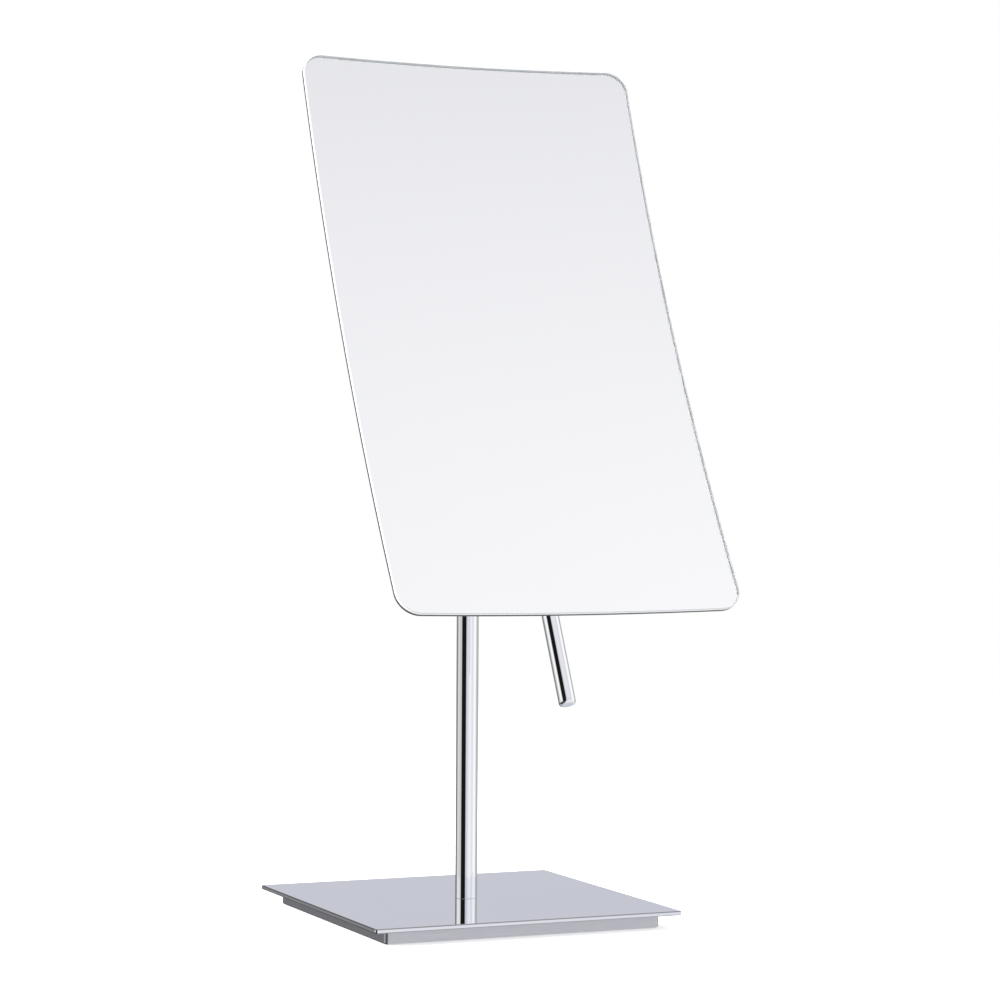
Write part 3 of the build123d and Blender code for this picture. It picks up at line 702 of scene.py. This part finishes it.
class MIRROR_OT_glass(Operator):
    """Build the dished glass, the bands of its edge, its silvering and the panel behind it"""

    bl_idname = "mirror.glass"
    bl_label = "Glass and Back Panel"

    def execute(self, context):
        sizes = context.scene.glass_sizes
        colours = context.scene.finish_colours
        arris = sizes.edge_round
        overlap = sizes.overlap
        front = sizes.depth
        back = front - sizes.thickness
        land = arris + sizes.edge_land
        lining_inset = land - overlap
        pane_inset = lining_inset + sizes.edge_land - overlap
        pane = dished_sheet("mirror_pane", pane_inset, front, back, overlap, "mirror")
        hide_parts("mirror_glass")
        finish(pane, clear_glass())
        sheets = [pane]

        # The edge: its ground rounds in a darker grey as painted shade, its flat, the paint behind them, and what
        # shows of it through the glass, its front half in a darker grey as painted shade and its back half lighter
        # with a painted glow.
        # Painted shade: the rounds are a darker grey than the flat of the same ground edge.
        ground = grained("Ground edge", colours.edge, ARRIS_GRAIN, shine=0.0)
        flat = grained("Edge wall", colours.edge_wall, EDGE_GRAIN, shine=0.0)
        coat = grained("Backing paint", colours.paint, PAINT_GRAIN)
        # Painted shade on the front part of the edge seen through the glass, and a painted glow on its back part.
        inside = grained("Edge inside painted shade", colours.edge_inside_painted_shade, EDGE_GRAIN, shine=0.0)
        deep = grained("Edge deep painted glow", colours.edge_wall, EDGE_GRAIN, shine=0.0, glow=sizes.painted_edge_glow)
        seal_front = front - sizes.thickness * sizes.seal_start
        glow_front = front - sizes.thickness * sizes.glow_start
        fine = overlap * BAND_ROUND
        for name, outset, faces, rounds, strip, material in (
            ("ground_arris_painted_shade", 0.0, (front, back), (arris, arris), land, ground),
            ("edge_wall", overlap / 2, (front - arris, seal_front), (fine, fine), land, flat),
            ("edge_seal", overlap, (seal_front + overlap, back - overlap), (fine, arris), land, coat),
            ("edge_inside_painted_shade", -lining_inset, (front, glow_front), (fine, fine), sizes.edge_land, inside),
            ("edge_deep_painted_glow", -lining_inset, (glow_front, back), (fine, fine), sizes.edge_land, deep),
        ):
            band = edge_band(name, outset, faces, rounds, strip)
            finish(band, material)
            sheets.append(band)

        gap = sizes.bond_line
        silver_faces = [back - gap * share for share in SILVER_SPAN]
        silver = dished_sheet("silvering", pane_inset, *silver_faces, gap * FILM_ROUND, "mirror")
        finish(silver, polished_metal("Silvering", colours.silver, SILVER_POLISH, SILVER_SHADE))
        paint_faces = [back - gap * share for share in PAINT_SPAN]
        paint = dished_sheet("backing_paint", arris, *paint_faces, gap * FILM_ROUND, "mirror")
        finish(paint, coat)
        panel_faces = (back - gap, back - gap - sizes.panel_thickness)
        panel_round = sizes.panel_thickness * PANEL_ROUND
        panel = dished_sheet("back_sheet", sizes.panel_inset, *panel_faces, panel_round, "panel_silver")
        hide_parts("back_panel")
        finish(panel, brushed_metal("Satin panel", colours.panel, PANEL_BRUSH))

        # The pole and the handle reflect the room alone.
        sheets += [silver, paint, panel, NODES["mount_disc"], NODES["bond_disc"], NODES["hinge_block"]]
        for sheet in sheets:
            sheet.visible_glossy = False
        return {"FINISHED"}


class MIRROR_OT_turned(Operator):
    """Build the pole, its collar, the cap and the handle as fine turned surfaces"""

    bl_idname = "mirror.turned"
    bl_label = "Turned Bright Pieces"

    def execute(self, context):
        sizes = context.scene.turned_sizes
        chrome = polished_metal("Chrome", context.scene.finish_colours.chrome, CHROME_POLISH)

        low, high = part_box("pole_tube")
        radius = high[0]
        bore = radius - sizes.tube_wall
        chamfer = sizes.tube_chamfer
        pole = turned_piece(
            "pole", [(bore, low[2], chamfer), (radius, low[2], chamfer), (radius, high[2], chamfer),
                     (bore, high[2], chamfer)], "stand",
        )
        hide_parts("pole_tube")

        low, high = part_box("tube_collar")
        _, rod_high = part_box("riser_rod")
        fit = sizes.hole_gap * CLOSE_FIT
        lip_hole = rod_high[0] + sizes.hole_gap
        rounding = sizes.collar_round
        collar = turned_piece(
            "collar", [(radius + fit, low[2], fit), (high[0], low[2], rounding), (high[0], high[2], rounding),
                       (lip_hole, high[2], fit), (lip_hole, high[2] - sizes.collar_lip, fit),
                       (radius + fit, high[2] - sizes.collar_lip, fit)], "stand",
        )
        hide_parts("tube_collar")

        low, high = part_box("head_cap")
        cap = turned_piece(
            "cap", [(0.0, low[2], 0.0), (high[0], low[2], fit), (high[0], high[2], sizes.cap_round),
                    (0.0, high[2], 0.0)], "head",
        )
        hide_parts("head_cap")

        radius = sizes.handle_diameter / 2
        handle = turned_piece(
            "handle_rod", [(0.0, sizes.handle_top, 0.0), (radius, sizes.handle_top, sizes.tube_chamfer),
                           (radius, sizes.handle_tip, sizes.handle_round), (0.0, sizes.handle_tip, 0.0)],
            "mirror", hang_on_glass,
        )
        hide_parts("handle")
        for piece in (pole, collar, cap, handle):
            finish(piece, chrome)
        return {"FINISHED"}


class MIRROR_OT_base(Operator):
    """Finish the polished plate, the satin block and the pad"""

    bl_idname = "mirror.base"
    bl_label = "Base"

    def execute(self, context):
        colours = context.scene.finish_colours
        plate = polished_metal("Polished plate", colours.plate, PLATE_POLISH)
        # The plate's rounded edges get painted shade.
        painted_arris_shade(plate, colours.plate_arris_painted_shade)
        finish_nodes(["base_plate"], plate)
        finish_nodes(["base_block", "mount_disc"], brushed_metal("Satin block", colours.block, BLOCK_BRUSH))
        finish_nodes(["base_pad", "bond_disc"], grained("Pad", colours.rubber, PAD_GRAIN))
        return {"FINISHED"}


class MIRROR_OT_head(Operator):
    """Finish the sliding rod, the head and the hinge behind the glass"""

    bl_idname = "mirror.head"
    bl_label = "Head and Hinge"

    def execute(self, context):
        plated = polished_metal("Plated castings", context.scene.finish_colours.chrome, CAST_POLISH)
        finish_nodes(["swivel_arm", "hinge_block", "tilt_axle", "axle_nut", "riser_rod"], plated)
        return {"FINISHED"}


class MIRROR_OT_fittings(Operator):
    """Finish the screws, springs, bearings, rings and plug"""

    bl_idname = "mirror.fittings"
    bl_label = "Screws and Bearings"

    def execute(self, context):
        colours = context.scene.finish_colours
        zinc = grained("Zinc plate", colours.zinc, ZINC_GRAIN, metallic=1.0)
        finish_nodes(
            ["dowel_pins", "pole_screw", "pole_washer", "slider_screw", "swivel_screw", "swivel_washer",
             "hinge_screws", "handle_stud", "swivel_spring", "axle_springs"], zinc,
        )
        finish_nodes(["foot_plug"], brushed_metal("Turned brass", colours.brass, BRASS_BRUSH))
        plastic = grained("Bearing plastic", colours.plastic, PLASTIC_GRAIN)
        finish_nodes(["guide_bush", "slider", "thrust_washer", "friction_washers"], plastic)
        finish_nodes(["friction_rings"], grained("Ring rubber", colours.rubber, RING_GRAIN))
        return {"FINISHED"}


def band_colour(brightness, coolness=0.0):
    """Grey of a studio surface, leaning to lavender by its coolness."""
    return (*[brightness * (1 + coolness * (part - 1)) for part in LAVENDER], 1.0)


def studio_ramp(tree, source, stops):
    """Colours at places along a value, each given by its place, brightness and coolness."""
    node = tree.nodes.new("ShaderNodeValToRGB")
    tree.links.new(source, node.inputs["Fac"])
    elements = node.color_ramp.elements
    ends = (elements[0], elements[-1])
    for element, (place, *look) in zip(ends, (stops[0], stops[-1])):
        element.position = place
        element.color = band_colour(*look)
    for place, *look in stops[1:-1]:
        elements.new(place).color = band_colour(*look)
    return node.outputs["Color"]


def part_along(tree, direction, axis):
    """Part of a direction that lies along an axis."""
    node = tree.nodes.new("ShaderNodeVectorMath")
    node.operation = "DOT_PRODUCT"
    node.inputs[1].default_value = axis
    tree.links.new(direction, node.inputs[0])
    return node.outputs["Value"]


def studio_world(yaw):
    """Studio with a tall dark panel left of the camera and a bright canopy, seen in reflections alone.

    Bands run round the object by the angle to the left of the camera, and give way to the canopy higher up. The
    canopy starts higher on the left, where the dark panel stands. Patches are laid over both. The camera and matte
    surfaces see plain white.
    """
    world = bpy.data.worlds.new("Studio")
    bpy.context.scene.world = world
    world.use_nodes = True
    tree = world.node_tree
    place = tree.nodes.new("ShaderNodeTexCoord")
    left = part_along(tree, place.outputs["Generated"], (-math.cos(yaw), math.sin(yaw), 0.0))
    back = part_along(tree, place.outputs["Generated"], (-math.sin(yaw), -math.cos(yaw), 0.0))
    up = part_along(tree, place.outputs["Generated"], UPWARD)
    sides = {"left": left, "back": back}
    narrow = calculated(tree, "SUBTRACT", 1.0, smooth_step(tree, up, *PANEL_HEIGHTS, PANEL_SPREAD))
    angle = calculated(tree, "MULTIPLY", calculated(tree, "ARCTAN2", left, back), narrow)
    turn = ranged(tree, angle, -math.pi, math.pi)
    bands = studio_ramp(tree, turn, [((degrees + 180) / 360, *look) for degrees, *look in STUDIO_BANDS])
    canopy = studio_ramp(tree, up, CANOPY_BANDS)
    lowered = calculated(tree, "SUBTRACT", up, smooth_step(tree, left, *CANOPY_SIDES, CANOPY_RISE))
    studio = mixed(tree, smooth_step(tree, lowered, *CANOPY_HEIGHTS), bands, canopy)
    for side, reach, heights, tone in STUDIO_PATCHES:
        along = smooth_step(tree, sides[side], *reach)
        patch = calculated(tree, "MULTIPLY", along, smooth_step(tree, up, *heights))
        studio = mixed(tree, patch, studio, band_colour(tone))
    seen = tree.nodes.new("ShaderNodeLightPath")
    direct = calculated(tree, "SUBTRACT", seen.outputs["Is Glossy Ray"], seen.outputs["Diffuse Depth"])
    backdrop = mixed(tree, calculated(tree, "MAXIMUM", direct, 0.0), WHITE, studio)
    tree.links.new(backdrop, tree.nodes["Background"].inputs["Color"])


def floor_disc(radius):
    """Round floor: rings of points at (radius cos t, radius sin t, 0) about the base."""
    reach = np.linspace(0.0, radius, FLOOR_RINGS)
    return grid_object("floor", reach[:, None, None] * unit_circle(FLOOR_STEPS))


def floor_material(colour, radius, glow):
    """Pale matte floor that fades into the backdrop towards its rim."""
    material, tree, shader = new_material("Pale floor")
    set_inputs(shader, {
        "Roughness": FLOOR_ROUGHNESS, "Specular IOR Level": 0.0, "Emission Color": (*colour, 1.0),
        "Emission Strength": glow,
    })
    grain = add_group(tree, fine_grain(), Scale=FLOOR_GRAIN)
    tint(tree, shader, grain.outputs["Tone"], colour, FLOOR_SHADE)
    place = tree.nodes.new("ShaderNodeTexCoord")
    reach = tree.nodes.new("ShaderNodeVectorMath")
    reach.operation = "LENGTH"
    tree.links.new(place.outputs["Object"], reach.inputs[0])
    fade = smooth_step(tree, reach.outputs["Value"], radius * FADE_END, radius * FADE_START)
    tree.links.new(fade, shader.inputs["Alpha"])
    return material


def place_camera(scene, settings):
    """Camera at its place, turned right by its yaw, up by its pitch, and rolled."""
    yaw, pitch, roll = settings.camera_yaw, settings.camera_pitch, settings.camera_roll
    forward = Vector((math.sin(yaw) * math.cos(pitch), math.cos(yaw) * math.cos(pitch), math.sin(pitch)))
    level = Vector((math.cos(yaw), -math.sin(yaw), 0.0))
    upright = level.cross(forward)
    right = level * math.cos(roll) + upright * math.sin(roll)
    up = right.cross(forward)
    data = bpy.data.cameras.new("camera")
    data.lens = settings.lens
    camera = bpy.data.objects.new("camera", data)
    axes = Matrix((right, up, -forward)).transposed().to_4x4()
    camera.matrix_world = Matrix.Translation(settings.camera_place) @ axes
    scene.collection.objects.link(camera)
    scene.camera = camera


def soft_box(name, place, turn, size, energy):
    """Square soft light that lights matte surfaces and stays out of reflections."""
    lamp = bpy.data.lights.new(name, "AREA")
    lamp.size = size
    lamp.energy = energy
    light = bpy.data.objects.new(name, lamp)
    light.location = place
    light.rotation_euler = turn
    light.visible_glossy = False
    bpy.context.scene.collection.objects.link(light)


class MIRROR_OT_stage(Operator):
    """Set the floor, the camera, the studio and the soft boxes"""

    bl_idname = "mirror.stage"
    bl_label = "Stage"

    def execute(self, context):
        scene = context.scene
        settings = scene.stage_settings
        scene.view_settings.view_transform = "Standard"
        scene.cycles.max_bounces = LIGHT_BOUNCES
        scene.cycles.glossy_bounces = LIGHT_BOUNCES
        scene.cycles.transmission_bounces = LIGHT_BOUNCES
        floor = floor_disc(settings.floor_radius)
        finish(floor, floor_material(settings.floor_colour, settings.floor_radius, settings.floor_glow))
        floor.visible_glossy = False
        floor.visible_diffuse = False
        place_camera(scene, settings)
        studio_world(settings.camera_yaw)
        soft_box("soft_box", *OVERHEAD_BOX, settings.overhead)
        soft_box("side_box", *SIDE_BOX, settings.side_fill)
        return {"FINISHED"}


class MIRROR_PT_panel(Panel):
    """Lists the pieces and the sizes and colours they are made from"""

    bl_label = "Shaving Mirror"
    bl_idname = "MIRROR_PT_panel"
    bl_space_type = "VIEW_3D"
    bl_region_type = "UI"
    bl_category = "Shaving Mirror"

    def draw(self, context):
        for operator in OPERATORS:
            self.layout.operator(operator.bl_idname)
        for name in GROUPS:
            group = getattr(context.scene, name)
            column = self.layout.column()
            for label in group.bl_rna.properties.keys():
                if label not in ("rna_type", "name"):
                    column.prop(group, label)


GROUPS = {
    "glass_sizes": GlassSizes,
    "turned_sizes": TurnedSizes,
    "finish_colours": FinishColours,
    "stage_settings": StageSettings,
}
OPERATORS = (
    MIRROR_OT_glass,
    MIRROR_OT_turned,
    MIRROR_OT_base,
    MIRROR_OT_head,
    MIRROR_OT_fittings,
    MIRROR_OT_stage,
)


def register():
    """Add the classes and hang the settings on the scene."""
    for group in GROUPS.values():
        bpy.utils.register_class(group)
    for operator in OPERATORS:
        bpy.utils.register_class(operator)
    bpy.utils.register_class(MIRROR_PT_panel)
    for name, group in GROUPS.items():
        setattr(bpy.types.Scene, name, PointerProperty(type=group))


def unregister():
    """Take the settings off the scene and remove the classes."""
    for name in GROUPS:
        delattr(bpy.types.Scene, name)
    bpy.utils.unregister_class(MIRROR_PT_panel)
    for operator in reversed(OPERATORS):
        bpy.utils.unregister_class(operator)
    for group in reversed(list(GROUPS.values())):
        bpy.utils.unregister_class(group)


def main():
    """Register the add-on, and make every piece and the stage."""
    register()
    bpy.ops.mirror.glass()
    bpy.ops.mirror.turned()
    bpy.ops.mirror.base()
    bpy.ops.mirror.head()
    bpy.ops.mirror.fittings()
    bpy.ops.mirror.stage()


if __name__ == "__main__":
    main()
